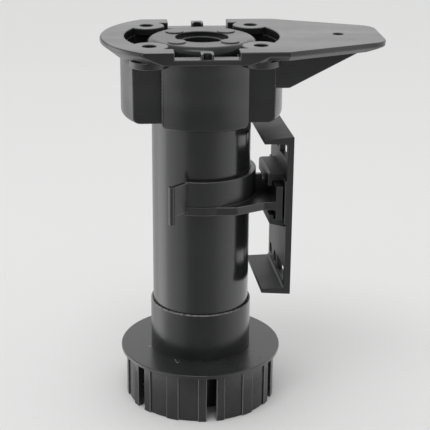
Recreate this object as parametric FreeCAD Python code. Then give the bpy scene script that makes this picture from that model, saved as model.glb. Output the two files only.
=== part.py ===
import FreeCAD, Part
import math
import os
from FreeCAD import Vector

# Adjustable cabinet leg with a plinth clip. Millimetres, floor at z = 0, leg axis on Z,
# the tongue of the mounting plate along +X.

# Whole leg
LEG_HEIGHT = 120.0
RUNNING_FIT = 0.05
FACE_GAP = 0.1

# Tube
TUBE_RADIUS_TOP = 15.54
TUBE_RADIUS_FOOT = 15.42
TUBE_WALL = 1.85
NECK_LENGTH = 42.0
NECK_WALL = 1.95
TUBE_FLOOR = 2.0
TUBE_RIB = 1.5

# Foot
FOOT_RADIUS = 26.12
FOOT_HEIGHT = 17.15
FLANGE_THICKNESS = 1.25
SKIRT_RADIUS = 24.5
SKIRT_WALL = 2.0
FLUTE_DEPTH = 0.5
FLUTE_INNER_ANGLE = 4.9
FLUTE_OUTER_ANGLE = 19.8
SLOT_WIDTH = 3.2
SLOT_ROOF = 1.83
SLOT_AZIMUTH = -85.3
SECTORS = 6
FOOT_HUB_RADIUS = 15.0
FOOT_HUB_WALL = 1.8
FOOT_FLOOR = 2.0
FOOT_RIB = 1.6
STEM_RADIUS = 9.0
STEM_BORE = 6.3
STEM_LENGTH = 40.0

# Collar
COLLAR_WALL = 0.75
COLLAR_HEIGHT = 16.2

# Mounting plate
RIM_RADIUS = 31.1
RIM_EDGE = 1.3
PLATE_THICKNESS = 3.9
RIM_ROUND = 0.5
PLATE_WIDTH = 49.8
TONGUE_THICKNESS = 2.9
TONGUE_BEVEL = 1.4
TONGUE_START = 24.0
TONGUE_END = 55.2
TONGUE_TIP_WIDTH = 23.6
TONGUE_TIP_THICKNESS = 1.4
TONGUE_RAMP_START = 48.5
TONGUE_CORNER = 6.0
SCREW_SPACING_X = 32.94
SCREW_SPACING_Y = 30.48
SCREW_HOLE = 4.2
TONGUE_HOLE = 3.2
TONGUE_HOLE_X = 42.0
BOSS_RADIUS = 6.0
EAR_RADIUS = 5.6
BOSS_HEIGHT = 6.0

# Socket and its lobes
SOCKET_DEPTH = 25.0
SOCKET_RADIUS = 17.0
SIDE_LOBE_RADIUS = 25.0
SIDE_LOBE_WIDTH = 25.6
SIDE_LOBE_ROUND = 2.0
SIDE_LOBE_RISE = 0.65
FRONT_LOBE_RADIUS = 21.3
FRONT_LOBE_WIDTH = 26.0
FRONT_LOBE_ROUND = 2.0
CONE_FOOT_DEPTH = 6.1
LOBE_WALL = 1.5
LOBE_FLOOR = 2.0
POCKET_RADIUS = 23.7
POCKET_WIDTH = 24.0
POCKET_SHELF = 2.5

# Closed top of the socket
DISC_DROP = 0.5
DISC_THICKNESS = 3.1
DISC_ROUND = 2.4
DISC_HOLE_RADIUS = 6.25
DISC_RECESS_RADIUS = 8.1
DISC_RECESS_DEPTH = 1.3
PAD_RADIUS = 2.85
PAD_HEIGHT = 0.3
PAD_X = 8.0
PAD_Y = 7.6

# Gaps in the rim, front and back
GAP_WIDTH = 19.0
GAP_DEPTH = 2.15
LEDGE_INNER = 20.5
LEDGE_STEP = 0.7
GAP_CORNER_WIDTH = 24.6
GAP_CORNER_REACH = 19.1
POST_WIDTH = 3.8
POST_NOTCH_WIDTH = 2.4
POST_NOTCH_DEPTH = 2.4
POST_ROUND = 0.8

# Gussets under the tongue
GUSSET_SPACING = 23.2
GUSSET_THICKNESS = 2.0
GUSSET_ROOT = 6.0
GUSSET_DEPTH = 13.8
GUSSET_FLAT_END = 25.75
GUSSET_SLOPE = 0.52

# Plinth clip, turned a little from the tongue
CLIP_ANGLE = 3.0
CLIP_BOTTOM = 67.5
BAND_BOTTOM = 0.9
BAND_HEIGHT = 9.8
BAND_WALL = 1.8
CLIP_RING_RADIUS = 17.7
CLIP_RING_HEIGHT = 2.7
CLIP_REACH = 114.0
TAB_LENGTH = 6.5
TAB_ANGLE = 42.0
TAB_THICKNESS = 1.5
BAR_WIDTH = 1.9
BAR_DROP = 1.5
WEB_RISE = 2.6
WEB_WIDTH = 36.0
WEB_SHOULDER = 9.0
WEB_NECK_START = 18.0
WEB_NOSE_X = 1.6
WEB_NOSE_INSET = 0.6
WEB_END_X = -5.9
WEB_END_WIDTH = 32.8
RAIL_FACE = 21.7
RAIL_THICKNESS = 2.2
RAIL_WIDTH = 28.4
RAIL_DROP = 3.4
RAIL_RISE = 7.5
CLIP_RIB = 2.0
CLIP_RIB_END = 19.55

# Plinth bracket
SLIDE_GAP = 0.3
BRACKET_HEIGHT = 52.1
BRACKET_CLEARANCE = 4.0
BRACKET_WIDTH = 29.0
BRACKET_BACK = 26.9
BRACKET_PLATE = 1.95
BRACKET_REACH = 9.3
BRACKET_PAD = 0.55
BRACKET_PAD_DROP = 5.0
BRACKET_PAD_RISE = 9.2
BRACKET_FLANGE = 2.2
BRACKET_TAPER = 0.85
BRACKET_CORNER = 0.25
UPPER_JAW_WIDTH = 18.0
LOWER_JAW_WIDTH = 25.0
JAW_TIP = 20.0
JAW_LIP = 1.4
JAW_ARM = 2.5
JAW_CHAMFER = 0.5
JAW_ARM_TIP = 1.4
JAW_LIP_DEPTH = 1.7
BRACKET_HOLE = 4.0
BRACKET_HOLE_NEAR = 3.0
BRACKET_HOLE_FAR = 10.8
BRACKET_HOLE_RISE = 6.0
WINDOW_NEAR = -1.0
WINDOW_FAR = -12.2
WINDOW_HEIGHT = 4.6

# Sizes that follow from the ones above
PLATE_UNDERSIDE = LEG_HEIGHT - PLATE_THICKNESS
CONE_TOP = LEG_HEIGHT - RIM_EDGE
CONE_FOOT = LEG_HEIGHT - CONE_FOOT_DEPTH
CONE_SLOPE = (CONE_TOP - CONE_FOOT) / (RIM_RADIUS - SIDE_LOBE_RADIUS)
SOCKET_FOOT = LEG_HEIGHT - SOCKET_DEPTH
DISC_TOP = LEG_HEIGHT - DISC_DROP
SOCKET_ROOF = DISC_TOP - DISC_THICKNESS
SOCKET_BORE = TUBE_RADIUS_TOP + RUNNING_FIT
TUBE_FOOT = FOOT_HEIGHT + 2.0 * FACE_GAP
TUBE_TOP = SOCKET_ROOF - 2.0 * FACE_GAP
NECK_FOOT = FOOT_FLOOR + 2.0
NECK_TOP = NECK_FOOT + NECK_LENGTH
NECK_BORE = STEM_RADIUS + RUNNING_FIT
COLLAR_BORE = TUBE_RADIUS_FOOT + RUNNING_FIT
COLLAR_FOOT = FOOT_HEIGHT + FACE_GAP
GAP_FLOOR = LEG_HEIGHT - GAP_DEPTH
RAIL_BACK = RAIL_FACE + RAIL_THICKNESS
RAIL_FOOT = CLIP_BOTTOM - RAIL_DROP
RAIL_TOP = CLIP_BOTTOM + RAIL_RISE
BRACKET_INNER = BRACKET_BACK - BRACKET_PLATE
BRACKET_TIP = BRACKET_BACK - BRACKET_REACH
BRACKET_TOP = SOCKET_FOOT - BRACKET_CLEARANCE
BRACKET_BOTTOM = BRACKET_TOP - BRACKET_HEIGHT
LOWER_ARM_TOP = RAIL_FOOT - SLIDE_GAP
UPPER_ARM_FOOT = RAIL_TOP + SLIDE_GAP


def tube_radius(z):
    """Outer radius of the tapered tube at height z."""
    share = (z - TUBE_FOOT) / (TUBE_TOP - TUBE_FOOT)
    return TUBE_RADIUS_FOOT + (TUBE_RADIUS_TOP - TUBE_RADIUS_FOOT) * share


def cone_radius(z):
    """Radius of the cone under the rim at height z."""
    return SIDE_LOBE_RADIUS + (z - CONE_FOOT) / CONE_SLOPE


CLIP_BORE = tube_radius(CLIP_BOTTOM + 0.5 * BAND_HEIGHT) + RUNNING_FIT
CONE_AT_PLATE = cone_radius(PLATE_UNDERSIDE)


def corner_arc(before, corner, after, radius):
    """Start, middle and end of the arc that rounds one corner of an outline."""
    ax, ay = before[0] - corner[0], before[1] - corner[1]
    bx, by = after[0] - corner[0], after[1] - corner[1]
    la, lb = math.hypot(ax, ay), math.hypot(bx, by)
    ax, ay, bx, by = ax / la, ay / la, bx / lb, by / lb
    half = 0.5 * math.acos(max(-1.0, min(1.0, ax * bx + ay * by)))
    reach = radius / math.tan(half)
    mx, my = ax + bx, ay + by
    lm = math.hypot(mx, my)
    far = radius / math.sin(half) - radius
    start = (corner[0] + ax * reach, corner[1] + ay * reach)
    middle = (corner[0] + mx / lm * far, corner[1] + my / lm * far)
    end = (corner[0] + bx * reach, corner[1] + by * reach)
    return start, middle, end


def outline(points, place):
    """Closed wire through points (a, b) or (a, b, corner radius), put in space by place."""
    edges = []
    ends = []
    count = len(points)
    for i in range(count):
        point = points[i]
        if len(point) == 3 and point[2] > 0.0:
            start, middle, end = corner_arc(points[i - 1], point, points[(i + 1) % count], point[2])
            edges.append(Part.Arc(place(*start), place(*middle), place(*end)).toShape())
            ends.append((start, end))
        else:
            edges.append(None)
            ends.append((point[:2], point[:2]))
    chain = []
    for i in range(count):
        if edges[i] is not None:
            chain.append(edges[i])
        here = ends[i][1]
        there = ends[(i + 1) % count][0]
        if math.hypot(there[0] - here[0], there[1] - here[1]) > 1e-6:
            chain.append(Part.makeLine(place(*here), place(*there)))
    return Part.Wire(chain)


def prism(points, low, high):
    """Upright prism over an outline in x and y."""
    wire = outline(points, lambda a, b: Vector(a, b, low))
    return Part.Face(wire).extrude(Vector(0, 0, high - low))


def side_prism(points, low, high):
    """Prism along y over an outline in x and z."""
    wire = outline(points, lambda a, b: Vector(a, low, b))
    return Part.Face(wire).extrude(Vector(0, high - low, 0))


def turned(points):
    """Body of revolution about Z from an outline in radius and z."""
    wire = outline(points, lambda a, b: Vector(a, 0, b))
    return Part.Face(wire).revolve(Vector(0, 0, 0), Vector(0, 0, 1), 360)


def rod(radius, low, high, x=0.0, y=0.0):
    return Part.makeCylinder(radius, high - low, Vector(x, y, low))


def ring(inner, outer, low, high):
    return rod(outer, low, high).cut(rod(inner, low - 1.0, high + 1.0))


def block(x0, x1, y0, y1, z0, z1):
    return Part.makeBox(x1 - x0, y1 - y0, z1 - z0, Vector(x0, y0, z0))


def spun(shape, degrees):
    copy = shape.copy()
    copy.rotate(Vector(0, 0, 0), Vector(0, 0, 1), degrees)
    return copy


def sector(inner, outer, low, high, start, end):
    """Piece of a ring between two azimuths in degrees."""
    solid = Part.makeCylinder(outer, high - low, Vector(0, 0, low), Vector(0, 0, 1), end - start)
    return spun(solid, start).cut(rod(inner, low - 1.0, high + 1.0))


def joined(shapes):
    return shapes[0].fuse(shapes[1:]).removeSplitter()


def screw_places():
    places = []
    for sx in (-1.0, 1.0):
        for sy in (-1.0, 1.0):
            places.append((0.5 * sx * SCREW_SPACING_X, 0.5 * sy * SCREW_SPACING_Y))
    return places


def plate_hub():
    """Round part of the plate with its conical rim, cut straight in front and behind."""
    rim = turned([
        (0.0, PLATE_UNDERSIDE), (CONE_AT_PLATE, PLATE_UNDERSIDE), (RIM_RADIUS, CONE_TOP),
        (RIM_RADIUS, LEG_HEIGHT, RIM_ROUND), (0.0, LEG_HEIGHT)])
    half = 0.5 * PLATE_WIDTH
    return rim.common(block(-RIM_RADIUS - 1, RIM_RADIUS + 1, -half, half, SOCKET_FOOT, LEG_HEIGHT + 1))


def tongue_wire(inset, z):
    """Outline of the tongue, drawn in by inset, at height z."""
    half = 0.5 * PLATE_WIDTH
    tip = 0.5 * TONGUE_TIP_WIDTH
    slope = math.atan2(half - tip, TONGUE_END - TONGUE_START)
    shoulder_x = TONGUE_START - inset * math.tan(0.5 * slope)
    tip_x = TONGUE_END - inset
    tip_y = tip - inset * math.cos(slope) / (1.0 + math.sin(slope))
    corner = TONGUE_CORNER - inset
    points = [
        (0.0, inset - half), (shoulder_x, inset - half), (tip_x, -tip_y, corner), (tip_x, tip_y, corner),
        (shoulder_x, half - inset), (0.0, half - inset)]
    return outline(points, lambda a, b: Vector(a, b, z))


def plate_tongue():
    """Tapering tongue with a bevel round its lower edge and a thinner tip."""
    bevel_top = LEG_HEIGHT - TONGUE_THICKNESS + TONGUE_BEVEL
    upper = Part.Face(tongue_wire(0.0, bevel_top)).extrude(Vector(0, 0, LEG_HEIGHT - bevel_top))
    lower = Part.makeLoft(
        [tongue_wire(0.0, bevel_top), tongue_wire(TONGUE_BEVEL, bevel_top - TONGUE_BEVEL)], True, True)
    under = LEG_HEIGHT - TONGUE_THICKNESS
    slope = (TONGUE_THICKNESS - TONGUE_TIP_THICKNESS) / (TONGUE_END - TONGUE_RAMP_START)
    past = TONGUE_END + 1.0
    ramp = side_prism([
        (TONGUE_RAMP_START, under), (past, under + slope * (past - TONGUE_RAMP_START)), (past, under - 1.0),
        (TONGUE_RAMP_START, under - 1.0)], -PLATE_WIDTH, PLATE_WIDTH)
    return upper.fuse(lower).cut(ramp)


def side_lobes():
    """Left and right lobes of the housing, with the foot of the cone."""
    neck = PLATE_UNDERSIDE + 0.5
    foot = SOCKET_FOOT + SIDE_LOBE_RISE
    shape = turned([
        (0.0, foot), (SIDE_LOBE_RADIUS, foot, SIDE_LOBE_ROUND), (SIDE_LOBE_RADIUS, CONE_FOOT),
        (cone_radius(neck), neck), (0.0, neck)])
    half = 0.5 * SIDE_LOBE_WIDTH
    return shape.common(block(-RIM_RADIUS, RIM_RADIUS, -half, half, SOCKET_FOOT - 1, LEG_HEIGHT))


def shoulders():
    """Foot of the cone beside the side lobes, where it runs into the screw bosses."""
    neck = PLATE_UNDERSIDE + 0.5
    foot = LEG_HEIGHT - BOSS_HEIGHT
    shape = turned([(0.0, foot), (cone_radius(foot), foot), (cone_radius(neck), neck), (0.0, neck)])
    half = 0.5 * SCREW_SPACING_Y
    return shape.common(block(-RIM_RADIUS, RIM_RADIUS, -half, half, foot - 1, LEG_HEIGHT))


def front_lobes():
    """Front and back lobes of the housing."""
    top = PLATE_UNDERSIDE + 0.5
    shape = turned([
        (0.0, SOCKET_FOOT), (FRONT_LOBE_RADIUS, SOCKET_FOOT, 0.8), (FRONT_LOBE_RADIUS, top), (0.0, top)])
    half = 0.5 * FRONT_LOBE_WIDTH
    frame = side_prism([
        (-half, SOCKET_FOOT, FRONT_LOBE_ROUND), (half, SOCKET_FOOT, FRONT_LOBE_ROUND), (half, top), (-half, top)],
        -RIM_RADIUS, RIM_RADIUS)
    return shape.common(frame)


def socket():
    """Closed-topped cylinder that takes the tube."""
    return turned([
        (0.0, SOCKET_FOOT), (SOCKET_RADIUS, SOCKET_FOOT), (SOCKET_RADIUS, DISC_TOP, DISC_ROUND), (0.0, DISC_TOP)])


def gussets():
    """Two upright gussets from the right lobe to the tongue."""
    foot = LEG_HEIGHT - GUSSET_DEPTH
    top = LEG_HEIGHT - 0.5 * TONGUE_THICKNESS
    end = GUSSET_FLAT_END + (top - foot) / GUSSET_SLOPE
    start = SIDE_LOBE_RADIUS - GUSSET_ROOT
    points = [(start, foot), (GUSSET_FLAT_END, foot, 2.0), (end, top), (start, top)]
    shapes = []
    for side in (-0.5, 0.5):
        middle = side * GUSSET_SPACING
        shapes.append(side_prism(points, middle - 0.5 * GUSSET_THICKNESS, middle + 0.5 * GUSSET_THICKNESS))
    return shapes


def pocket_cuts():
    """Left and right pockets of the lobes, open at the top."""
    half = 0.5 * POCKET_WIDTH
    shelf = LEG_HEIGHT - POCKET_SHELF
    mouth = ring(SOCKET_RADIUS, POCKET_RADIUS, shelf, LEG_HEIGHT + 1)
    mouth = mouth.common(block(-RIM_RADIUS, RIM_RADIUS, -half, half, shelf - 1, LEG_HEIGHT + 2))
    for x, y in screw_places():
        mouth = mouth.cut(rod(EAR_RADIUS, shelf - 1, LEG_HEIGHT + 2, x, y))
    inside = 0.5 * SIDE_LOBE_WIDTH - LOBE_WALL
    floor = SOCKET_FOOT + SIDE_LOBE_RISE + LOBE_FLOOR
    well = ring(SOCKET_RADIUS, SIDE_LOBE_RADIUS - LOBE_WALL, floor, LEG_HEIGHT)
    well = well.common(block(-RIM_RADIUS, RIM_RADIUS, -inside, inside, floor - 1, shelf + 0.5))
    return mouth, well


def front_cuts():
    """Gaps in the rim in front and behind, and the wells between them and the socket."""
    half = 0.5 * GAP_WIDTH
    wall = 0.5 * PLATE_WIDTH
    cuts = []
    well = ring(SOCKET_RADIUS, FRONT_LOBE_RADIUS - LOBE_WALL, SOCKET_FOOT + LOBE_FLOOR, LEG_HEIGHT + 1)
    cuts.append(well.common(block(-half, half, -RIM_RADIUS, RIM_RADIUS, SOCKET_FOOT, LEG_HEIGHT + 2)))
    step = GAP_FLOOR - LEDGE_STEP
    shelf = block(-half, half, -LEDGE_INNER, LEDGE_INNER, step, LEG_HEIGHT + 1)
    corner = 0.5 * GAP_CORNER_WIDTH
    corners = block(-corner, corner, -GAP_CORNER_REACH, GAP_CORNER_REACH, step, LEG_HEIGHT + 1)
    for x, y in screw_places():
        corners = corners.cut(rod(EAR_RADIUS, step - 1, LEG_HEIGHT + 2, x, y))
    for recess in (shelf, corners):
        cuts.append(recess.cut(rod(SOCKET_RADIUS, step - 1, LEG_HEIGHT + 2)))
    for y0, y1 in ((-wall - 1, -LEDGE_INNER), (LEDGE_INNER, wall + 1)):
        cuts.append(block(-half, half, y0, y1, GAP_FLOOR, LEG_HEIGHT + 1))
    return cuts


def posts():
    """Small C-shaped post in the middle of each gap, both open to the same side."""
    half = 0.5 * POST_WIDTH
    notch = 0.5 * POST_NOTCH_WIDTH
    outer = 0.5 * PLATE_WIDTH
    shapes = []
    for side in (-1.0, 1.0):
        near, far = sorted((side * LEDGE_INNER, side * outer))
        post = prism(
            [(-half, near), (half, near), (half, far, POST_ROUND), (-half, far, POST_ROUND)], GAP_FLOOR - 0.5, DISC_TOP)
        bend = near + POST_NOTCH_DEPTH - notch
        channel = block(-notch, notch, near - 1, bend, GAP_FLOOR, DISC_TOP + 1)
        shapes.append(post.cut(channel.fuse(rod(notch, GAP_FLOOR, DISC_TOP + 1, 0.0, bend))))
    return shapes


def mounting_plate():
    body = joined([plate_hub(), plate_tongue(), side_lobes(), shoulders(), front_lobes()] + gussets())
    above = LEG_HEIGHT + 1
    for cut in pocket_cuts():
        body = body.cut(cut)
    for cut in front_cuts():
        body = body.cut(cut)
    body = body.cut(rod(SOCKET_RADIUS, SOCKET_FOOT - 1, above))
    bosses = []
    for x, y in screw_places():
        boss = rod(BOSS_RADIUS, LEG_HEIGHT - BOSS_HEIGHT, PLATE_UNDERSIDE, x, y)
        bosses.append(boss.cut(rod(SOCKET_RADIUS, SOCKET_FOOT, above)))
    inside = 0.5 * SIDE_LOBE_WIDTH - LOBE_WALL
    well = block(-SIDE_LOBE_RADIUS, SIDE_LOBE_RADIUS, -inside, inside, SOCKET_FOOT, above)
    bosses = [boss.cut(well) for boss in bosses]
    pads = []
    for sx in (-1.0, 1.0):
        for sy in (-1.0, 1.0):
            pads.append(rod(PAD_RADIUS, DISC_TOP - 0.5, DISC_TOP + PAD_HEIGHT, sx * PAD_X, sy * PAD_Y))
    body = joined([body, socket()] + bosses + pads + posts())
    body = body.cut(rod(SOCKET_BORE, SOCKET_FOOT - 1, SOCKET_ROOF))
    body = body.cut(rod(DISC_HOLE_RADIUS, SOCKET_ROOF - 1, above))
    body = body.cut(rod(DISC_RECESS_RADIUS, DISC_TOP - DISC_RECESS_DEPTH, above))
    for x, y in screw_places():
        body = body.cut(rod(0.5 * SCREW_HOLE, LEG_HEIGHT - BOSS_HEIGHT - 1, above, x, y))
    body = body.cut(rod(0.5 * TONGUE_HOLE, PLATE_UNDERSIDE - 1, above, TONGUE_HOLE_X, 0.0))
    return body.removeSplitter()


def leg_tube():
    """Tapered tube with a neck inside for the thread of the foot's stem."""
    neck = NECK_BORE + NECK_WALL
    inner = TUBE_RADIUS_FOOT - TUBE_WALL
    shell = turned([
        (inner, TUBE_FOOT), (TUBE_RADIUS_FOOT, TUBE_FOOT, 0.3), (TUBE_RADIUS_TOP, TUBE_TOP, 0.4), (inner, TUBE_TOP)])
    core = turned([
        (NECK_BORE, NECK_FOOT), (neck, NECK_FOOT), (neck, NECK_TOP), (inner + 0.5, NECK_TOP),
        (inner + 0.5, NECK_TOP + TUBE_FLOOR), (0.0, NECK_TOP + TUBE_FLOOR), (0.0, NECK_TOP),
        (NECK_BORE, NECK_TOP)])
    ribs = []
    for k in range(SECTORS):
        rib = block(neck - 0.3, inner + 0.5, -0.5 * TUBE_RIB, 0.5 * TUBE_RIB, TUBE_FOOT + 2.0, NECK_TOP + 0.5)
        ribs.append(spun(rib, k * 360.0 / SECTORS))
    return joined([shell, core] + ribs)


def foot():
    """Round foot with a fluted, slotted skirt and a hollow stem."""
    under = FOOT_HEIGHT - FLANGE_THICKNESS
    hub_inner = FOOT_HUB_RADIUS - FOOT_HUB_WALL
    flange = turned([
        (hub_inner, under), (FOOT_RADIUS, under, 0.35), (FOOT_RADIUS, FOOT_HEIGHT, 0.35), (hub_inner, FOOT_HEIGHT)])
    skirt = ring(SKIRT_RADIUS - SKIRT_WALL, SKIRT_RADIUS, 0.0, under + 0.3)
    pitch = 360.0 / SECTORS
    for k in range(SECTORS):
        slot = block(
            SKIRT_RADIUS - SKIRT_WALL - 1, SKIRT_RADIUS + 1, -0.5 * SLOT_WIDTH, 0.5 * SLOT_WIDTH,
            -1.0, FOOT_HEIGHT - SLOT_ROOF)
        skirt = skirt.cut(spun(slot, SLOT_AZIMUTH + k * pitch))
        middle = SLOT_AZIMUTH + (k + 0.5) * pitch
        for side in (-1.0, 1.0):
            first, last = sorted((side * FLUTE_INNER_ANGLE, side * FLUTE_OUTER_ANGLE))
            flute = sector(
                SKIRT_RADIUS - FLUTE_DEPTH, SKIRT_RADIUS + 1, -1.0, under, middle + first, middle + last)
            skirt = skirt.cut(flute)
    hub = turned([
        (0.0, 0.0), (FOOT_HUB_RADIUS, 0.0), (FOOT_HUB_RADIUS, under + 0.3), (hub_inner, under + 0.3),
        (hub_inner, FOOT_FLOOR), (0.0, FOOT_FLOOR)])
    stem = turned([
        (STEM_BORE, FOOT_FLOOR - 0.5), (STEM_RADIUS, FOOT_FLOOR - 0.5),
        (STEM_RADIUS, FOOT_FLOOR + STEM_LENGTH, 0.6), (STEM_BORE, FOOT_FLOOR + STEM_LENGTH)])
    ribs = []
    for k in range(SECTORS):
        rib = block(
            FOOT_HUB_RADIUS - 0.5, SKIRT_RADIUS - SKIRT_WALL + 0.5, -0.5 * FOOT_RIB, 0.5 * FOOT_RIB,
            3.0, under + 0.3)
        ribs.append(spun(rib, SLOT_AZIMUTH + (k + 0.5) * pitch))
    return joined([flange, skirt, hub, stem] + ribs)


def collar():
    """Loose sleeve round the tube's lower end."""
    outer = COLLAR_BORE + COLLAR_WALL
    top = COLLAR_FOOT + COLLAR_HEIGHT
    return turned([
        (COLLAR_BORE, COLLAR_FOOT), (outer, COLLAR_FOOT), (outer, top, 0.25), (COLLAR_BORE, top, 0.25)])


def clip_tab(side):
    """Flared lead-in at one end of the clip's band, with its upright bar."""
    low = CLIP_BOTTOM + BAND_BOTTOM
    high = low + BAND_HEIGHT
    reach = math.radians(CLIP_REACH)
    middle = CLIP_BORE + 0.5 * BAND_WALL
    x0, y0 = middle * math.cos(reach), middle * math.sin(reach)
    flare = math.radians(180.0 - TAB_ANGLE)
    dx, dy = math.cos(flare), math.sin(flare)
    x0, y0 = x0 - 0.2 * dx, y0 + 0.5
    x1, y1 = x0 + TAB_LENGTH * dx, y0 + TAB_LENGTH * dy
    nx, ny = -dy * 0.5 * TAB_THICKNESS, dx * 0.5 * TAB_THICKNESS
    tab = prism([(x0 + nx, y0 + ny), (x1 + nx, y1 + ny), (x1 - nx, y1 - ny), (x0 - nx, y0 - ny)], low + 0.1, high - 0.2)
    bar = rod(0.5 * BAR_WIDTH, CLIP_BOTTOM - BAR_DROP, high - 0.1, x1, y1)
    shape = tab.fuse(bar)
    if side < 0:
        shape = shape.mirror(Vector(0, 0, 0), Vector(0, 1, 0))
    return shape


def clip_web():
    """Flat web from the ring to the rail, with its upright rib."""
    half = 0.5 * WEB_WIDTH
    nose = half - WEB_NOSE_INSET
    tail = 0.5 * WEB_END_WIDTH
    neck = 0.5 * RAIL_WIDTH
    end = RAIL_FACE + 0.5 * RAIL_THICKNESS
    points = [
        (WEB_END_X, -tail), (WEB_NOSE_X, -nose), (WEB_SHOULDER, -half, 2.5), (WEB_NECK_START, -neck, 1.5), (end, -neck),
        (end, neck), (WEB_NECK_START, neck, 1.5), (WEB_SHOULDER, half, 2.5), (WEB_NOSE_X, nose), (WEB_END_X, tail)]
    web = prism(points, CLIP_BOTTOM, CLIP_BOTTOM + WEB_RISE)
    web = web.cut(rod(CLIP_BORE, CLIP_BOTTOM - 1, CLIP_BOTTOM + WEB_RISE + 1))
    start = CLIP_BORE + 0.5 * BAND_WALL
    low = CLIP_BOTTOM + 0.5 * WEB_RISE
    rib = side_prism([
        (start, low), (end, low), (end, RAIL_TOP - JAW_LIP_DEPTH - 0.5), (CLIP_RIB_END, RAIL_TOP - JAW_LIP_DEPTH - 0.5),
        (CLIP_RIB_END, RAIL_TOP), (start, RAIL_TOP)], -0.5 * CLIP_RIB, 0.5 * CLIP_RIB)
    return [web, rib]


def plinth_clip():
    """Spring clip on the tube, open to the left, with a rail for the bracket."""
    low = CLIP_BOTTOM + BAND_BOTTOM
    band = sector(CLIP_BORE, CLIP_BORE + BAND_WALL, low, low + BAND_HEIGHT, -CLIP_REACH, CLIP_REACH)
    foot_ring = sector(
        CLIP_BORE, CLIP_RING_RADIUS, CLIP_BOTTOM, CLIP_BOTTOM + CLIP_RING_HEIGHT, -CLIP_REACH, CLIP_REACH)
    rail = prism([
        (RAIL_FACE, -0.5 * RAIL_WIDTH, 0.4), (RAIL_BACK, -0.5 * RAIL_WIDTH, 0.4),
        (RAIL_BACK, 0.5 * RAIL_WIDTH, 0.4), (RAIL_FACE, 0.5 * RAIL_WIDTH, 0.4)], RAIL_FOOT, RAIL_TOP)
    shape = joined([band, foot_ring, rail, clip_tab(1), clip_tab(-1)] + clip_web())
    return spun(shape, CLIP_ANGLE)


def bracket_channel():
    """Upright channel: plate, two flanges and the thicker middle of the plate."""
    back, inner, tip = BRACKET_BACK, BRACKET_INNER, BRACKET_TIP
    taper = BRACKET_TAPER
    low, high = BRACKET_BOTTOM, BRACKET_TOP
    points = [
        (back, low, BRACKET_CORNER), (back, high, BRACKET_CORNER), (tip, high - taper, 0.3),
        (tip, high - BRACKET_FLANGE + 0.1, 0.3), (inner, high - BRACKET_FLANGE, 0.8),
        (inner, low + BRACKET_FLANGE + 0.1, 0.8), (tip, low + BRACKET_FLANGE, 0.3), (tip, low + taper, 0.3)]
    half = 0.5 * BRACKET_WIDTH
    channel = side_prism(points, -half, half)
    pad = block(inner - BRACKET_PAD, inner + 0.5, -half, half, CLIP_BOTTOM - BRACKET_PAD_DROP, CLIP_BOTTOM + BRACKET_PAD_RISE)
    return [channel, pad]


def bracket_jaws():
    """Upper and lower jaw that hold the rail of the clip."""
    end = BRACKET_INNER + 0.5
    arm = UPPER_ARM_FOOT
    upper = side_prism([
        (end, arm), (JAW_TIP + JAW_LIP, arm), (JAW_TIP + JAW_LIP, arm - JAW_LIP_DEPTH),
        (JAW_TIP, arm - JAW_LIP_DEPTH), (JAW_TIP, arm + JAW_ARM - JAW_CHAMFER), (JAW_TIP + JAW_CHAMFER, arm + JAW_ARM),
        (end, arm + JAW_ARM)], -0.5 * UPPER_JAW_WIDTH, 0.5 * UPPER_JAW_WIDTH)
    arm = LOWER_ARM_TOP
    lower = side_prism([
        (end, arm), (JAW_TIP + JAW_LIP, arm), (JAW_TIP + JAW_LIP, arm + JAW_LIP_DEPTH - 0.2),
        (JAW_TIP, arm + JAW_LIP_DEPTH - 0.2), (JAW_TIP, arm - JAW_ARM_TIP, 0.3), (end, arm - JAW_ARM - 0.3)],
        -0.5 * LOWER_JAW_WIDTH, 0.5 * LOWER_JAW_WIDTH)
    return [upper, lower]


def plinth_bracket():
    """Bracket that is screwed to the plinth and hooks on the clip's rail."""
    shape = joined(bracket_channel() + bracket_jaws())
    for height in (BRACKET_BOTTOM + BRACKET_HOLE_RISE, BRACKET_TOP - BRACKET_HOLE_RISE):
        for t in (BRACKET_HOLE_NEAR, BRACKET_HOLE_FAR):
            hole = Part.makeCylinder(
                0.5 * BRACKET_HOLE, BRACKET_PLATE + 2.0, Vector(BRACKET_INNER - 1.0, t, height), Vector(1, 0, 0))
            shape = shape.cut(hole)
        shape = shape.cut(block(
            BRACKET_INNER - 1.0, BRACKET_BACK + 1.0, WINDOW_FAR, WINDOW_NEAR,
            height - 0.5 * WINDOW_HEIGHT, height + 0.5 * WINDOW_HEIGHT))
    return spun(shape, CLIP_ANGLE)


PIECES = {
    "mounting_plate": mounting_plate,
    "leg_tube": leg_tube,
    "foot": foot,
    "collar": collar,
    "plinth_clip": plinth_clip,
    "plinth_bracket": plinth_bracket,
}

os.makedirs("parts", exist_ok=True)
for name, make in PIECES.items():
    shape = make()
    if len(shape.Solids) != 1 or not shape.isValid():
        raise ValueError("%s: %d solids, valid %s" % (name, len(shape.Solids), shape.isValid()))
    shape.Solids[0].exportStep("parts/%s.step" % name)
    box = shape.BoundBox
    print(name, round(shape.Volume), "x %.2f..%.2f y %.2f..%.2f z %.2f..%.2f" % (
        box.XMin, box.XMax, box.YMin, box.YMax, box.ZMin, box.ZMax))
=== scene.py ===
import math

import bmesh
import bpy
from mathutils import Matrix, Vector
from mathutils.bvhtree import BVHTree


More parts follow.
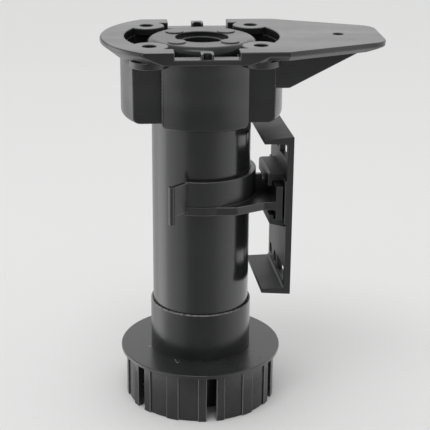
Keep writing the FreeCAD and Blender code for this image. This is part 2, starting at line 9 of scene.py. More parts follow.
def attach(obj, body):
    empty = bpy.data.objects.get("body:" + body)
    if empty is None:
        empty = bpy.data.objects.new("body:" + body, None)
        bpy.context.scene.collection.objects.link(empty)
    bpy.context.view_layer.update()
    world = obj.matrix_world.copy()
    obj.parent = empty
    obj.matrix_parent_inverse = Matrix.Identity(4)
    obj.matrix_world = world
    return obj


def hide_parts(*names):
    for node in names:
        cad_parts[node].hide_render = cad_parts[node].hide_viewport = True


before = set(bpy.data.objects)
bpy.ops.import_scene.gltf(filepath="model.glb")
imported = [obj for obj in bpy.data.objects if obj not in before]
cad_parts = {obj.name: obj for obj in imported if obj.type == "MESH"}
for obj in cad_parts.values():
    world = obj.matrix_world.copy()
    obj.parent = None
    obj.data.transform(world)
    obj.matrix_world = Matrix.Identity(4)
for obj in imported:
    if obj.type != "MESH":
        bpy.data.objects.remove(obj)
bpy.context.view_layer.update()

# Adjustable cabinet leg with its plinth clip, in metres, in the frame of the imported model.
MM = 0.001
BODY_OF = {
    "mounting_plate": "plate",
    "leg_tube": "tube",
    "foot": "foot",
    "collar": "collar",
    "plinth_clip": "clip",
    "plinth_bracket": "bracket",
}


def new_object(name, data):
    """Object with this data, in the scene."""
    thing = bpy.data.objects.new(name, data)
    bpy.context.scene.collection.objects.link(thing)
    return thing


# Node trees

# A dot is full out to this share of its size, and a mark out to this share of its own
SPECK_CORE = 0.6
MARK_CORE = 0.8
# Y plus X where a painted highlight line round the collar starts, towards the lit left and front, and where
# it is full
HIGHLIGHT_START = 12.0 * MM
HIGHLIGHT_FULL = -4.0 * MM
# Fray at which such a line is faintest and fullest, and its strength where it is faintest
LINE_FRAY = (-0.35, 0.1)
LINE_FAINT = 0.3


class Nodes:
    """Short way to build the node tree of a material or of the world."""

    def __init__(self, owner):
        owner.use_nodes = True
        self.owner = owner
        self.tree = owner.node_tree
        self.shader = self.tree.nodes.get("Principled BSDF")
        self.coordinates = self.add("ShaderNodeTexCoord")

    def add(self, kind, **settings):
        node = self.tree.nodes.new(kind)
        for key, value in settings.items():
            setattr(node, key, value)
        return node

    def link(self, source, target):
        self.tree.links.new(source, target)

    def place(self, scale=(1, 1, 1)):
        """Object coordinates, stretched."""
        mapping = self.add("ShaderNodeMapping")
        mapping.inputs["Scale"].default_value = scale
        self.link(self.coordinates.outputs["Object"], mapping.inputs["Vector"])
        return mapping.outputs["Vector"]

    def axes(self, vector):
        """X, Y and Z of a vector."""
        parts = self.add("ShaderNodeSeparateXYZ")
        self.link(vector, parts.inputs["Vector"])
        return parts.outputs["X"], parts.outputs["Y"], parts.outputs["Z"]

    def noise(self, vector, scale, detail=2.0, roughness=0.5, distortion=0.0):
        """Soft uneven pattern with this many repeats per metre."""
        noise = self.add("ShaderNodeTexNoise")
        noise.inputs["Scale"].default_value = scale
        noise.inputs["Detail"].default_value = detail
        noise.inputs["Roughness"].default_value = roughness
        noise.inputs["Distortion"].default_value = distortion
        self.link(vector, noise.inputs["Vector"])
        return noise.outputs["Fac"]

    def remap(self, value, low, high, to_low, to_high):
        """Value carried from one range to another, and held at its ends."""
        remap = self.add("ShaderNodeMapRange")
        ends = {"From Min": low, "From Max": high, "To Min": to_low, "To Max": to_high}
        for key, number in ends.items():
            remap.inputs[key].default_value = number
        self.link(value, remap.inputs["Value"])
        return remap.outputs["Result"]

    def maths(self, operation, first, second=0.0, clamp=False):
        node = self.add("ShaderNodeMath", operation=operation, use_clamp=clamp)
        for socket, value in zip(node.inputs, (first, second)):
            if isinstance(value, (int, float)):
                socket.default_value = value
            else:
                self.link(value, socket)
        return node.outputs["Value"]

    def blend(self, share, first, second):
        """Colour between first and second."""
        mix = self.add("ShaderNodeMix", data_type="RGBA")
        self.link(share, mix.inputs["Factor"])
        for key, value in (("A", first), ("B", second)):
            socket = [s for s in mix.inputs if s.name == key and s.type == "RGBA"][0]
            if isinstance(value, tuple):
                socket.default_value = (*value, 1.0)
            else:
                self.link(value, socket)
        return [s for s in mix.outputs if s.type == "RGBA"][0]

    def specks(self, scale, share, size):
        """Sparse dots, 1 inside and 0 outside, in this share of the pattern's cells."""
        cells = self.add("ShaderNodeTexVoronoi")
        cells.inputs["Scale"].default_value = scale
        self.link(self.place(), cells.inputs["Vector"])
        near = self.remap(cells.outputs["Distance"], size * SPECK_CORE, size, 1.0, 0.0)
        parts = self.add("ShaderNodeSeparateColor")
        self.link(cells.outputs["Color"], parts.inputs["Color"])
        chosen = self.maths("GREATER_THAN", parts.outputs["Red"], 1.0 - share)
        return self.maths("MULTIPLY", near, chosen)

    def mark(self, spot, size, fray):
        """One small mark round a point given in millimetres, with a frayed edge."""
        away = self.add("ShaderNodeVectorMath", operation="DISTANCE")
        away.inputs[1].default_value = tuple(MM * value for value in spot)
        self.link(self.coordinates.outputs["Object"], away.inputs[0])
        reach = self.maths("DIVIDE", away.outputs["Value"], MM * size)
        return self.remap(self.maths("ADD", reach, fray), MARK_CORE, 1.0, 1.0, 0.0)

    def painted_highlight_ring(self, low, high, fray):
        """Painted highlight line at a height in millimetres, none at low and full at high, on the lit left
        and front.
        """
        x, y, z = self.axes(self.coordinates.outputs["Object"])
        rise = self.remap(z, MM * low, MM * high, 0.0, 1.0)
        # Fades out towards the right and back, away from the light, as a painted highlight does
        side = self.remap(self.maths("ADD", y, x), HIGHLIGHT_START, HIGHLIGHT_FULL, 0.0, 1.0)
        patchy = self.remap(fray, *LINE_FRAY, LINE_FAINT, 1.0)
        return self.maths("MULTIPLY", self.maths("MULTIPLY", rise, side), patchy)

    def bump(self, height, strength, distance, under=None):
        """Normal with a fine relief on it, over the one under it."""
        bump = self.add("ShaderNodeBump")
        bump.inputs["Strength"].default_value = strength
        bump.inputs["Distance"].default_value = distance
        self.link(height, bump.inputs["Height"])
        if under is not None:
            self.link(under, bump.inputs["Normal"])
        return bump.outputs["Normal"]


# Moulded plastic; each scale is in repeats per metre

# Most of a noise lies between these values, and most of a sum of two between those of the tone
NOISE_LOW = 0.3
NOISE_HIGH = 0.7
TONE_LOW = 0.7
TONE_HIGH = 1.3
FLOW_SCALE = 55.0
FLOW_DETAIL = 3.0
FLOW_ROUGHNESS = 0.55
FLOW_DISTORTION = 0.4
FLOW_GLOSS = 0.03
CLOUD_SCALE = 160.0
CLOUD_GLOSS = 0.015
DUST_SCALE = 230.0
DUST_SHARE = 0.03
DUST_SIZE = 0.07
DUST_STRENGTH = 0.5
DUST = (0.20, 0.20, 0.19)
FRAY_SCALE = 900.0
FRAY_DEPTH = 0.5
GRAIN_SCALE = 420.0
GRAIN_STRENGTH = 0.05
GRAIN_DEPTH = 0.4 * MM
FINE_GRAIN_SCALE = 2600.0
FINE_GRAIN_STRENGTH = 0.06
FINE_GRAIN_DEPTH = 0.1 * MM
PLASTIC_IOR = 1.46
PLASTIC_SHINE = 0.5

# Bands of more and less shine along the tongue, and the recessed disc, which is duller than the rim
BAND_STRETCH = (0.14, 1.0, 1.0)
BAND_SCALE = 85.0
BAND_DETAIL = 1.5
BAND_LOW = 0.35
BAND_HIGH = 0.65
BAND_SHINE = 0.13
DISC_RADIUS = 20.0 * MM
DISC_BOTTOM = 116.0 * MM
DISC_TOP = 119.9 * MM
DISC_SHARE = 0.60


def plate_shine(n):
    """Shine of the mounting plate, by its bands and its disc."""
    noise = n.noise(n.place(scale=BAND_STRETCH), BAND_SCALE, BAND_DETAIL)
    bands = n.remap(noise, BAND_LOW, BAND_HIGH, PLASTIC_SHINE - BAND_SHINE, PLASTIC_SHINE + BAND_SHINE)
    x, y, z = n.axes(n.coordinates.outputs["Object"])
    reach = n.maths("SQRT", n.maths("ADD", n.maths("MULTIPLY", x, x), n.maths("MULTIPLY", y, y)))
    inside = n.maths("LESS_THAN", reach, DISC_RADIUS)
    level = n.maths("MULTIPLY", n.maths("GREATER_THAN", z, DISC_BOTTOM), n.maths("LESS_THAN", z, DISC_TOP))
    share = n.remap(n.maths("MULTIPLY", inside, level), 0.0, 1.0, 1.0, DISC_SHARE)
    return n.maths("MULTIPLY", bands, share)


def moulded(
        name, dark, light, rough, grain=1.0, flow=(1, 1, 1), marks=(), lines=(), shine=PLASTIC_SHINE,
        uneven_shine=None):
    """Dark moulded plastic: faint flow marks, fine grain, uneven gloss, specks of dust, its own marks and
    painted highlights.
    """
    n = Nodes(bpy.data.materials.new(name))
    flow_marks = n.noise(n.place(scale=flow), FLOW_SCALE, FLOW_DETAIL, FLOW_ROUGHNESS, FLOW_DISTORTION)
    cloud = n.noise(n.place(), CLOUD_SCALE)
    tone = n.remap(n.maths("ADD", flow_marks, cloud), TONE_LOW, TONE_HIGH, 0.0, 1.0)
    colour = n.blend(tone, dark, light)
    dust = n.specks(DUST_SCALE, DUST_SHARE, DUST_SIZE)
    colour = n.blend(n.maths("MULTIPLY", dust, DUST_STRENGTH), colour, DUST)
    fray = n.remap(n.noise(n.place(), FRAY_SCALE), NOISE_LOW, NOISE_HIGH, -FRAY_DEPTH, FRAY_DEPTH)
    # Marks round points: nicks and flash; the light spots on the foot are painted highlights on a flake of
    # flash
    for spot, size, tint in marks:
        colour = n.blend(n.mark(spot, size, fray), colour, tint)
    # Painted highlight lines round the collar, on its lit left and front
    for low, high, tint in lines:
        colour = n.blend(n.painted_highlight_ring(low, high, fray), colour, tint)
    n.link(colour, n.shader.inputs["Base Color"])
    flow_gloss = n.remap(flow_marks, NOISE_LOW, NOISE_HIGH, -FLOW_GLOSS, FLOW_GLOSS)
    cloud_gloss = n.remap(cloud, NOISE_LOW, NOISE_HIGH, -CLOUD_GLOSS, CLOUD_GLOSS)
    gloss = n.maths("ADD", flow_gloss, cloud_gloss)
    n.link(n.maths("ADD", gloss, rough), n.shader.inputs["Roughness"])
    n.shader.inputs["IOR"].default_value = PLASTIC_IOR
    skin = n.bump(n.noise(n.place(), GRAIN_SCALE), GRAIN_STRENGTH * grain, GRAIN_DEPTH)
    skin = n.bump(n.noise(n.place(), FINE_GRAIN_SCALE), FINE_GRAIN_STRENGTH * grain, FINE_GRAIN_DEPTH, skin)
    n.link(skin, n.shader.inputs["Normal"])
    n.shader.inputs["Specular IOR Level"].default_value = shine
    if uneven_shine:
        n.link(uneven_shine(n), n.shader.inputs["Specular IOR Level"])
    return n.owner


# Light flash and dark nicks: middle and size in millimetres, and colour. On the foot's flange the light spots
# are painted highlights on a flake of flash, and the same light grey paints the highlight line on the
# collar's rim
FLASH_AND_HIGHLIGHT = (0.16, 0.16, 0.155)
NICK = (0.004, 0.004, 0.004)
PLATE_MARKS = (
    ((51.4, 13.2, 119.8), 0.55, NICK),
    ((-3.3, -5.0, 117.4), 0.35, FLASH_AND_HIGHLIGHT),
    ((-0.8, 20.2, 118.6), 0.30, FLASH_AND_HIGHLIGHT),
)
# Painted highlights on a small flake of flash on the foot's flange
FOOT_FLAKE_HIGHLIGHTS = (
    ((-16.9, -3.5, 17.1), 0.50, FLASH_AND_HIGHLIGHT),
    ((-9.1, -13.6, 17.1), 0.35, FLASH_AND_HIGHLIGHT),
    ((-8.9, -14.8, 17.1), 0.35, FLASH_AND_HIGHLIGHT),
    ((-8.5, -15.9, 17.1), 0.40, FLASH_AND_HIGHLIGHT),
    ((-7.8, -14.8, 17.1), 0.30, FLASH_AND_HIGHLIGHT),
    ((-7.5, -13.8, 17.1), 0.30, FLASH_AND_HIGHLIGHT),
)
# Painted highlight lines on the collar's rim and at its joint, on the lit left and front; the one at the
# joint is partly the joint's own light line. Heights in millimetres where each has faded and is full
JOINT_AND_HIGHLIGHT = (0.05, 0.05, 0.049)
COLLAR_HIGHLIGHT_LINES = ((33.05, 33.20, FLASH_AND_HIGHLIGHT), (17.55, 17.35, JOINT_AND_HIGHLIGHT))

CHARCOAL = (0.0125, 0.0130, 0.0132)
CHARCOAL_LIGHT = (0.0165, 0.017, 0.0172)
PLATE_PLASTIC = moulded(
    "plate_charcoal", (0.0120, 0.0125, 0.0128), CHARCOAL_LIGHT, rough=0.25, flow=(0.3, 1.6, 1.0),
    marks=PLATE_MARKS, uneven_shine=plate_shine)
TUBE_PLASTIC = moulded(
    "tube_charcoal", CHARCOAL, CHARCOAL_LIGHT, rough=0.20, grain=0.4, flow=(1.0, 1.0, 0.25))
FOOT_PLASTIC = moulded(
    "foot_charcoal", (0.0185, 0.0190, 0.0192), (0.0240, 0.0245, 0.0247), rough=0.26, grain=0.8,
    marks=FOOT_FLAKE_HIGHLIGHTS)
COLLAR_PLASTIC = moulded(
    "collar_charcoal", (0.0150, 0.0155, 0.0158), (0.0200, 0.0205, 0.0207), rough=0.24, grain=0.8,
    lines=COLLAR_HIGHLIGHT_LINES, shine=0.32)
CLIP_PLASTIC = moulded(
    "clip_charcoal", CHARCOAL, CHARCOAL_LIGHT, rough=0.32, grain=0.8, flow=(1.0, 1.0, 0.5))
BRACKET_PLASTIC = moulded(
    "bracket_charcoal", (0.0110, 0.0115, 0.0118), CHARCOAL_LIGHT, rough=0.50, grain=2.0, flow=(1.0, 1.0, 0.5))
# Lighter tones of the rounded edges: painted highlights along them, strongest on the foot and the clip
PLATE_EDGE_HIGHLIGHT = moulded("plate_edge_highlight", (0.040, 0.0405, 0.0405), (0.055, 0.0555, 0.055), rough=0.40)
FOOT_EDGE_HIGHLIGHT = moulded("foot_edge_highlight", (0.13, 0.13, 0.128), (0.20, 0.20, 0.198), rough=0.40)
CLIP_EDGE_HIGHLIGHT = moulded("clip_edge_highlight", (0.075, 0.075, 0.074), (0.115, 0.115, 0.113), rough=0.40)
FINISH_OF = {
    "mounting_plate": PLATE_PLASTIC,
    "leg_tube": TUBE_PLASTIC,
    "foot": FOOT_PLASTIC,
    "collar": COLLAR_PLASTIC,
    "plinth_clip": CLIP_PLASTIC,
    "plinth_bracket": BRACKET_PLASTIC,
}
# Material with the painted edge highlight for each piece's rounded edges
EDGE_HIGHLIGHT_OF = {
    "mounting_plate": PLATE_EDGE_HIGHLIGHT,
    "foot": FOOT_EDGE_HIGHLIGHT,
    "plinth_clip": CLIP_EDGE_HIGHLIGHT,
    "plinth_bracket": PLATE_EDGE_HIGHLIGHT,
}


# Pieces

# Width of the rounded edges; the tube and the collar have none
ROUNDING = {
    "mounting_plate": 0.28 * MM,
    "leg_tube": 0.0,
    "foot": 0.2 * MM,
    "collar": 0.0,
    "plinth_clip": 0.2 * MM,
    "plinth_bracket": 0.25 * MM,
}
ROUND_STEPS = 2
SHARP_TURN = math.radians(35.0)
# Depth of a rounded edge under its old corner, as a share of the width, that counts as right
ROUND_DEPTH = 0.45


def soften(node, width):
    """Takes the place of a plain moulding with a copy that has its finish and, where it has a width, rounded
    outer edges with a painted highlight.
    """
    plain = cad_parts[node].data
    piece = new_object(node + "_moulding", plain.copy())
    piece.data.materials.clear()
    piece.data.materials.append(FINISH_OF[node])
    if width:
        # The rounded edges take a lighter material, a painted highlight
        piece.data.materials.append(EDGE_HIGHLIGHT_OF[node])
        round_edges(piece, plain, width)
    dress(piece, node)


def round_edges(piece, plain, width):
    """Rounds the outer edges of a piece, which keeps to the surface of the plain mesh elsewhere."""
    plain.calc_loop_triangles()
    tree = BVHTree.FromPolygons(
        [tuple(v.co) for v in plain.vertices], [tuple(t.vertices) for t in plain.loop_triangles])
    shell = bmesh.new()
    shell.from_mesh(piece.data)
    join_flats(shell, piece.data)
    even_strips(shell)
    full = weigh_edges(shell, tree, width)
    shell.to_mesh(piece.data)
    shell.free()
    bevel = piece.modifiers.new("edges", "BEVEL")
    bevel.width = full
    bevel.segments = ROUND_STEPS
    bevel.limit_method = "WEIGHT"
    bevel.use_clamp_overlap = False
    bevel.loop_slide = True
    # The rounding gets the material with the painted edge highlight
    bevel.material = 1
    settle(piece)
    keep_close(piece.data, tree, ROUND_DEPTH * full)
    surface_normals(piece.data, plain, tree)


# Points closer than this are one; a face is flat where its corners' normals match its own by this cosine
WELD = 2e-6
FLAT_MATCH = 0.99998
FLAT_TURN = math.radians(0.2)


def join_flats(shell, mesh):
    """Closes the seams and joins the triangles of each flat face; curved faces keep theirs."""
    true = [Vector(c.vector) for c in mesh.corner_normals]
    surface = shell.loops.layers.float_vector.new("surface")
    shell.faces.ensure_lookup_table()
    level = {}
    for face, polygon in zip(shell.faces, mesh.polygons):
        level[face] = all(true[loop].dot(polygon.normal) > FLAT_MATCH for loop in polygon.loop_indices)
        normal_at = {mesh.loops[loop].vertex_index: true[loop] for loop in polygon.loop_indices}
        for corner in face.loops:
            corner[surface] = normal_at[corner.vert.index]
    bmesh.ops.remove_doubles(shell, verts=shell.verts, dist=WELD)
    flat = {face for face, is_level in level.items() if face.is_valid and is_level}
    edges = [e for e in shell.edges if len(e.link_faces) == 2 and all(f in flat for f in e.link_faces)]
    verts = [v for v in shell.verts if v.link_faces and all(f in flat for f in v.link_faces)]
    bmesh.ops.dissolve_limit(
        shell, angle_limit=FLAT_TURN, verts=verts, edges=edges, use_dissolve_boundaries=False)


# Edges turned in strips of triangles: rounds at most, least fold, cosine at which the true surface runs on
# over the edge, and least gain; a triangle with no area has the worst strain
TURN_ROUNDS = 25
TURN_FOLD = math.radians(8)
RUNS_ON = 0.99
TURN_GAIN = 0.002
NO_AREA = 1e-13
WORST_STRAIN = 4.0


def even_strips(shell):
    """Turns the edges between long triangles of small roundings so that they follow the true surface."""
    surface = shell.loops.layers.float_vector["surface"]

    def strain(*corners):
        """How far a triangle leans from the true normals at its corners."""
        (first, _), (second, _), (third, _) = corners
        normal = (second - first).cross(third - first)
        if normal.length < NO_AREA:
            return WORST_STRAIN
        normal.normalize()
        return 3.0 - sum(normal.dot(true) for _, true in corners)

    def between_triangles(edge):
        return edge.is_valid and len(edge.link_faces) == 2 and all(len(f.verts) == 3 for f in edge.link_faces)

    def turn(edge):
        """Turns an edge if its two triangles then have less strain, and says whether it did."""
        start, back = edge.link_loops[0], edge.link_loops[1]
        end, tip, far_tip = start.link_loop_next, start.link_loop_prev, back.link_loop_prev
        if start[surface].dot(back.link_loop_next[surface]) < RUNS_ON:
            return False
        if end[surface].dot(back[surface]) < RUNS_ON:
            return False
        a, b, c, d = ((loop.vert.co.copy(), loop[surface].copy()) for loop in (start, end, tip, far_tip))
        now = strain(a, b, c) + strain(b, a, d)
        then = strain(c, a, d) + strain(d, b, c)
        joined = any(e.other_vert(tip.vert) == far_tip.vert for e in tip.vert.link_edges)
        if joined or then >= now - TURN_GAIN:
            return False
        true_at = {place.freeze(): true for place, true in (c, d, a, b)}
        fresh = bmesh.utils.edge_rotate(edge, False)
        if fresh is None:
            return False
        for face in fresh.link_faces:
            for corner in face.loops:
                corner[surface] = true_at[corner.vert.co.copy().freeze()]
            face.normal_update()
        return True

    for _ in range(TURN_ROUNDS):
        turned = 0
        for edge in list(shell.edges):
            if between_triangles(edge) and edge.calc_face_angle(0.0) >= TURN_FOLD and turn(edge):
                turned += 1
        if not turned:
            break


# A rounding needs a face beside its edge: how far out that is tested, in shares of the width and times the
# reach, with the gap and the cosine at which the face has ended, and the margin that is then kept
PROBE_SHARES = (0.15, 0.3, 0.45, 0.6, 0.8, 1.0)
PROBE_REACH = 1.5
PROBE_GAP = 0.05 * MM
PROBE_MATCH = 0.8
PROBE_MARGIN = 0.12
# The shortest edge that is rounded, and the edges whose rounding is held to a share of their length
LEAST_EDGE = 0.01 * MM
SHORT_EDGE = 0.15 * MM
SHORT_EDGE_SHARE = 0.8


def weigh_edges(shell, tree, width):
    """Rounding of each outer edge, less where the face beside it is narrow; returns the full width."""
    weights = shell.edges.layers.float.new("bevel_weight_edge")
    surface = shell.loops.layers.float_vector["surface"]
    rounding = {}
    for edge in shell.edges:
        edge[weights] = 0.0
        if len(edge.link_faces) != 2 or edge.calc_face_angle_signed(0.0) < SHARP_TURN:
            continue
        meet = [
            [c[surface] for face in edge.link_faces for c in face.loops if c.vert == v]
            for v in edge.verts]
        if max(one.dot(two) for one, two in meet) > math.cos(SHARP_TURN):
            continue
        length = edge.calc_length()
        if length < LEAST_EDGE:
            continue
        middle = 0.5 * (edge.verts[0].co + edge.verts[1].co)
        free = min(free_beside(edge, face, middle, tree, width) for face in edge.link_faces)
        if length < SHORT_EDGE:
            free = min(free, SHORT_EDGE_SHARE * length)
        rounding[edge] = max(0.0, free)
    even_chains(rounding)
    full = max(rounding.values())
    for edge, amount in rounding.items():
        edge[weights] = amount / full
    return full


def free_beside(edge, face, middle, tree, width):
    """Rounding that one face has room for beside an edge, up to the width."""
    corner = [c for c in face.loops if c.edge == edge][0]
    along = (corner.link_loop_next.vert.co - corner.vert.co).normalized()
    inward = face.normal.cross(along)
    for share in PROBE_SHARES:
        _, normal, _, distance = tree.find_nearest(middle + inward * (PROBE_REACH * share * width))
        if distance > PROBE_GAP or normal.dot(face.normal) < PROBE_MATCH:
            return (share - PROBE_MARGIN) * width
    return width


# Two edges are one line if the cosine between them is under this; a line takes the rounding at this part
# of its sorted ones, and an edge with less than this share of it keeps its own
IN_LINE = -0.85
LINE_PART = 5
OWN_SHARE = 0.5


def even_chains(rounding):
    """Gives the edges of one smooth line the same rounding."""
    chain = {edge: edge for edge in rounding}

    def root(edge):
        while chain[edge] != edge:
            chain[edge] = chain[chain[edge]]
            edge = chain[edge]
        return edge

    for vertex in {v for edge in rounding for v in edge.verts}:
        met = [edge for edge in vertex.link_edges if edge in rounding]
        pairs = []
        for k, first in enumerate(met):
            for second in met[k + 1:]:
                one = (first.other_vert(vertex).co - vertex.co).normalized()
                two = (second.other_vert(vertex).co - vertex.co).normalized()
                pairs.append((one.dot(two), k, first, second))
        if pairs:
            straight, _, first, second = min(pairs, key=lambda pair: pair[:2])
            if straight < IN_LINE:
                chain[root(first)] = root(second)
    lines = {}
    for edge in rounding:
        lines.setdefault(root(edge), []).append(edge)
    for edges in lines.values():
        amounts = sorted(rounding[edge] for edge in edges)
        common = amounts[len(amounts) // LINE_PART]
        for edge in edges:
            if rounding[edge] > OWN_SHARE * common:
                rounding[edge] = common


def settle(piece):
    """Turns a piece's modifiers into plain mesh."""
    graph = bpy.context.evaluated_depsgraph_get()
    finished = bpy.data.meshes.new_from_object(piece.evaluated_get(graph))
    piece.modifiers.clear()
    piece.data = finished


def dress(piece, node):
    """Puts a finished piece on its body in the plain one's place, and hides the plain one."""
    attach(piece, BODY_OF[node])
    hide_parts(node)


# How far a point may stand off the true surface, and how much deeper than its rounding it may lie
OFF_SURFACE = 0.004 * MM
TOO_DEEP = 0.01 * MM


def keep_close(mesh, tree, depth):
    """Puts points of the rounded edges that stray off the true surface back on it."""
    for vertex in mesh.vertices:
        near, normal, _, distance = tree.find_nearest(vertex.co)
        outside = (vertex.co - near).dot(normal) > OFF_SURFACE
        if distance > depth + TOO_DEEP or (outside and distance > OFF_SURFACE):
            vertex.co = near


# A corner's own normal counts if it is whole and matches its face by this cosine; otherwise the true
# surface is asked a little way into the face, within this reach, and has to match by the next cosine. Over a
# rounded edge, the normals that match its face by the last cosine are blended
WHOLE_NORMAL = 0.9
OWN_MATCH = 0.9
INTO_FACE = 0.01 * MM
INTO_FACE_SHARE = 0.1
LEAST_LENGTH = 1e-9
SURFACE_REACH = 0.02 * MM
SURFACE_MATCH = 0.94
BLEND_MATCH = 0.3


def surface_normals(mesh, plain, tree):
    """Shading normals: the true surface's on its own faces, blended over the rounded edges between them."""
    places = [tuple(v.co) for v in plain.vertices]
    triangles = [tuple(t.vertices) for t in plain.loop_triangles]
    loops = [tuple(t.loops) for t in plain.loop_triangles]
    true = [Vector(c.vector) for c in plain.corner_normals]
    own = [Vector(value.vector) for value in mesh.attributes["surface"].data]
    mesh.attributes.remove(mesh.attributes["surface"])

    def true_normal(spot, facing):
        """Normal of the nearest true surface that faces the same way, or None."""
        nearest, normal = None, None
        for near, _, triangle, distance in tree.find_nearest_range(spot, SURFACE_REACH):
            if nearest is not None and distance >= nearest:
                continue
            weights = barycentric(near, *(Vector(places[k]) for k in triangles[triangle]))
            here = Vector()
            for weight, corner in zip(weights, loops[triangle]):
                here += weight * true[corner]
            here.normalize()
            if here.dot(facing) > SURFACE_MATCH:
                nearest, normal = distance, here
        return normal

    on_surface = {}
    shading = [None] * len(mesh.loops)
    for face in mesh.polygons:
        missing = []
        for loop in face.loop_indices:
            vertex = mesh.loops[loop].vertex_index
            normal = own[loop].normalized()
            whole = face.material_index == 0 and own[loop].length > WHOLE_NORMAL
            if not whole or normal.dot(face.normal) <= OWN_MATCH:
                corner = mesh.vertices[vertex].co
                inward = face.center - corner
                step = min(INTO_FACE_SHARE, INTO_FACE / max(inward.length, LEAST_LENGTH))
                normal = true_normal(corner + inward * step, face.normal)
            if normal is None:
                missing.append(loop)
                continue
            shading[loop] = normal
            on_surface.setdefault(vertex, []).append(normal)
        if len(missing) < len(face.loop_indices):
            for loop in missing:
                shading[loop] = face.normal.copy()
    for face in mesh.polygons:
        for loop in face.loop_indices:
            if shading[loop] is not None:
                continue
            vertex = mesh.loops[loop].vertex_index
            normals = [n for n in on_surface.get(vertex, ()) if n.dot(face.normal) > BLEND_MATCH]
            if normals:
                shading[loop] = sum(normals, Vector()).normalized()
            else:
                shading[loop] = Vector(mesh.vertices[vertex].normal)
    mesh.shade_smooth()
    mesh.normals_split_custom_set(shading)


# Square of a triangle's doubled area, in square metres, under which it counts as a point
DEGENERATE = 1e-24


def barycentric(point, a, b, c):
    """Weights of a triangle's corners at a point in it."""
    ab, ac, ap = b - a, c - a, point - a
    bb, bc, cc = ab.dot(ab), ab.dot(ac), ac.dot(ac)
    pb, pc = ap.dot(ab), ap.dot(ac)
    area = bb * cc - bc * bc
    if area < DEGENERATE:
        return 1.0, 0.0, 0.0
    v = (cc * pb - bc * pc) / area
    w = (bb * pc - bc * pb) / area
    return 1.0 - v - w, v, w


for moulding, edge_width in ROUNDING.items():
    soften(moulding, edge_width)


# Studio: floor, light and the camera at the photograph's angle

VIEW_AZIMUTH = -94.0

# Brightness of the tent's walls by angle from the camera, counted to the left, near the floor and higher up
LOW_WALL = (
    (-180, 0.46), (-150, 1.15), (-118, 1.4), (-90, 1.7), (-60, 1.4), (-40, 0.95), (-22, 0.60), (0, 0.52),
    (22, 0.56), (40, 1.20), (70, 1.85), (88, 2.2), (96, 3.1), (112, 2.8), (128, 1.65), (145, 1.05),
    (180, 0.46))
HIGH_WALL = (
    (-180, 1.24), (-140, 1.20), (-100, 1.15), (-60, 0.85), (-30, 0.55), (0, 0.45), (30, 0.60), (60, 1.10),
    (95, 1.70), (140, 1.36), (180, 1.24))
CEILING = 0.8
# Height of a direction, as its Z, over which the low wall becomes the high one, and that one the ceiling
WALL_BLEND = (-0.05, 0.16)
CEILING_BLEND = (0.50, 0.85)

PAPER = (0.78, 0.78, 0.775)
FLOOR_DARK = (0.700, 0.700, 0.697)
FLOOR_LIGHT = (0.712, 0.712, 0.709)
FLOOR_GRAIN = 6.0
FLOOR_ROUGHNESS = 0.9
# Distances from the leg: edge of the floor that reflections show, edge of the whole floor, and where the
# camera starts to see even paper and sees nothing else
FLOOR_NEAR = 0.045
FLOOR_REACH = 3.0
FLOOR_STEPS = 64
PAPER_START = 0.55
PAPER_FULL = 1.80

# Soft box over the leg, a little to the camera's side
LAMP_STRENGTH = 5.0
LAMP_SIZE = (0.50, 0.40)
LAMP_PLACE = (-0.12, -0.32, 1.05)
LAMP_TARGET = (0.0, 0.0, 0.06)


def overhead_lamp():
    """Soft box that the camera doesn't see."""
    lamp = bpy.data.lights.new("overhead", "AREA")
    lamp.shape = "RECTANGLE"
    lamp.size, lamp.size_y = LAMP_SIZE
    lamp.energy = LAMP_STRENGTH * math.pi * lamp.size * lamp.size_y
    box = new_object("overhead", lamp)
    box.location = LAMP_PLACE
    box.rotation_euler = (Vector(LAMP_TARGET) - box.location).to_track_quat("-Z", "Y").to_euler()
    box.visible_camera = False


def floor_material():
    """Pale paper, which the camera sees as even paper far from the leg."""
    n = Nodes(bpy.data.materials.new("floor_paper"))
    grain = n.noise(n.place(), FLOOR_GRAIN)
    n.link(n.blend(grain, FLOOR_DARK, FLOOR_LIGHT), n.shader.inputs["Base Color"])
    n.shader.inputs["Roughness"].default_value = FLOOR_ROUGHNESS
    n.shader.inputs["Specular IOR Level"].default_value = 0.0
    away = n.add("ShaderNodeVectorMath", operation="LENGTH")
    n.link(n.coordinates.outputs["Object"], away.inputs[0])
    far = n.remap(away.outputs["Value"], PAPER_START, PAPER_FULL, 0.0, 1.0)
    path = n.add("ShaderNodeLightPath")
    backdrop = n.add("ShaderNodeEmission")
    backdrop.inputs["Color"].default_value = (*PAPER, 1.0)
    mix = n.add("ShaderNodeMixShader")
    n.link(n.maths("MULTIPLY", far, path.outputs["Is Camera Ray"]), mix.inputs[0])
    n.link(n.shader.outputs["BSDF"], mix.inputs[1])
    n.link(backdrop.outputs["Emission"], mix.inputs[2])
    n.link(mix.outputs["Shader"], n.tree.nodes["Material Output"].inputs["Surface"])
    return n.owner


def studio_floor():
    """Floor in two parts; glossy surfaces see only the near one, and the tent's walls beyond it."""
    paper = floor_material()
    turns = [2 * math.pi * k / FLOOR_STEPS for k in range(FLOOR_STEPS)]
    ring = [(math.cos(turn), math.sin(turn)) for turn in turns]
    inner = [(FLOOR_NEAR * x, FLOOR_NEAR * y, 0.0) for x, y in ring]
    outer = [(FLOOR_REACH * x, FLOOR_REACH * y, 0.0) for x, y in ring]
    disc = [tuple(range(FLOOR_STEPS))]
    around = [
        (k, FLOOR_STEPS + k, FLOOR_STEPS + (k + 1) % FLOOR_STEPS, (k + 1) % FLOOR_STEPS)
        for k in range(FLOOR_STEPS)]
    for name, verts, faces in (("floor_near", inner, disc), ("floor_far", inner + outer, around)):
        mesh = bpy.data.meshes.new(name)
        mesh.from_pydata(verts, [], faces)
        mesh.materials.append(paper)
        floor = new_object(name, mesh)
        floor.visible_glossy = name == "floor_near"


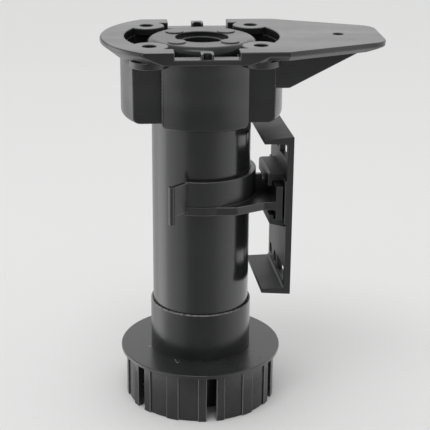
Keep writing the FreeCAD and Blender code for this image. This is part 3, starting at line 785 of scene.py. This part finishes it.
def wall_curve(n, share, points):
    """Brightness along a list of angles, through a float curve of the share of a full turn."""
    top = max(value for angle, value in points)
    curve = n.add("ShaderNodeFloatCurve")
    line = curve.mapping.curves[0]
    for k, (angle, value) in enumerate(points):
        spot = ((angle + 180.0) / 360.0, value / top)
        if k == 0:
            line.points[0].location = spot
        elif k == len(points) - 1:
            line.points[-1].location = spot
        else:
            line.points.new(*spot)
    curve.mapping.update()
    n.link(share, curve.inputs["Value"])
    return n.maths("MULTIPLY", curve.outputs["Value"], top)


def studio_world():
    """Light tent: soft walls and ceiling; the camera itself sees pale paper beyond the floor."""
    world = bpy.data.worlds.new("studio")
    bpy.context.scene.world = world
    n = Nodes(world)
    turn = n.add("ShaderNodeVectorRotate", rotation_type="Z_AXIS")
    turn.inputs["Angle"].default_value = -math.radians(VIEW_AZIMUTH)
    n.link(n.coordinates.outputs["Generated"], turn.inputs["Vector"])
    x, y, height = n.axes(turn.outputs["Vector"])
    angle = n.maths("ARCTAN2", n.maths("MULTIPLY", y, -1.0), x)
    share = n.maths("ADD", n.maths("DIVIDE", angle, 2.0 * math.pi), 0.5)
    low = wall_curve(n, share, LOW_WALL)
    high = wall_curve(n, share, HIGH_WALL)

    def between(first, second, start, end):
        """From the first brightness to the second as the direction rises from start to end."""
        risen = n.maths("DIVIDE", n.maths("SUBTRACT", height, start), end - start, clamp=True)
        left = n.maths("MULTIPLY", first, n.maths("SUBTRACT", 1.0, risen))
        return n.maths("ADD", left, n.maths("MULTIPLY", risen, second))

    walls = between(low, high, *WALL_BLEND)
    light = between(walls, CEILING, *CEILING_BLEND)
    room = n.tree.nodes["Background"]
    room.inputs["Color"].default_value = (1.0, 1.0, 1.0, 1.0)
    n.link(light, room.inputs["Strength"])
    paper = n.add("ShaderNodeBackground")
    paper.inputs["Color"].default_value = (*PAPER, 1.0)
    paper.inputs["Strength"].default_value = 1.0
    path = n.add("ShaderNodeLightPath")
    mix = n.add("ShaderNodeMixShader")
    n.link(path.outputs["Is Camera Ray"], mix.inputs["Fac"])
    n.link(room.outputs["Background"], mix.inputs[1])
    n.link(paper.outputs["Background"], mix.inputs[2])
    n.link(mix.outputs["Shader"], n.tree.nodes["World Output"].inputs["Surface"])


# Camera read from the photograph: angles in radians, distances for the 120 mm leg
PHOTO_SIZE = 430.0
FOCAL_PIXELS = 1255.89
PITCH = 0.3495
ROLL = 0.0087
YAW = 0.0119
PART_TURN = 0.0701
CAMERA_DISTANCE = 378.83 * MM
CAMERA_HEIGHT = 199.63 * MM
SENSOR_WIDTH = 36.0
CLIP_START = 0.01
CLIP_END = 20.0


def photo_camera():
    """Camera at the photograph's place and angle."""
    cos_pitch, sin_pitch = math.cos(PITCH), math.sin(PITCH)
    cos_yaw, sin_yaw = math.cos(YAW), math.sin(YAW)
    cos_roll, sin_roll = math.cos(ROLL), math.sin(ROLL)
    level = Vector((cos_yaw, -sin_yaw, 0.0))
    upright = Vector((sin_pitch * sin_yaw, sin_pitch * cos_yaw, cos_pitch))
    forward = Vector((cos_pitch * sin_yaw, cos_pitch * cos_yaw, -sin_pitch))
    right = cos_roll * level + sin_roll * upright
    up = cos_roll * upright - sin_roll * level
    turn = Matrix.Rotation(-PART_TURN, 3, "Z")
    place = turn @ Vector((0.0, -CAMERA_DISTANCE, CAMERA_HEIGHT))
    right, up, back = turn @ right, turn @ up, turn @ -forward
    data = bpy.data.cameras.new("photo_camera")
    data.sensor_fit = "HORIZONTAL"
    data.sensor_width = SENSOR_WIDTH
    data.lens = FOCAL_PIXELS / PHOTO_SIZE * data.sensor_width
    data.clip_start = CLIP_START
    data.clip_end = CLIP_END
    camera = new_object("photo_camera", data)
    camera.matrix_world = Matrix((
        (right.x, up.x, back.x, place.x), (right.y, up.y, back.y, place.y), (right.z, up.z, back.z, place.z),
        (0.0, 0.0, 0.0, 1.0)))
    bpy.context.scene.camera = camera


studio_floor()
studio_world()
overhead_lamp()
photo_camera()
bpy.context.scene.view_settings.view_transform = "Standard"
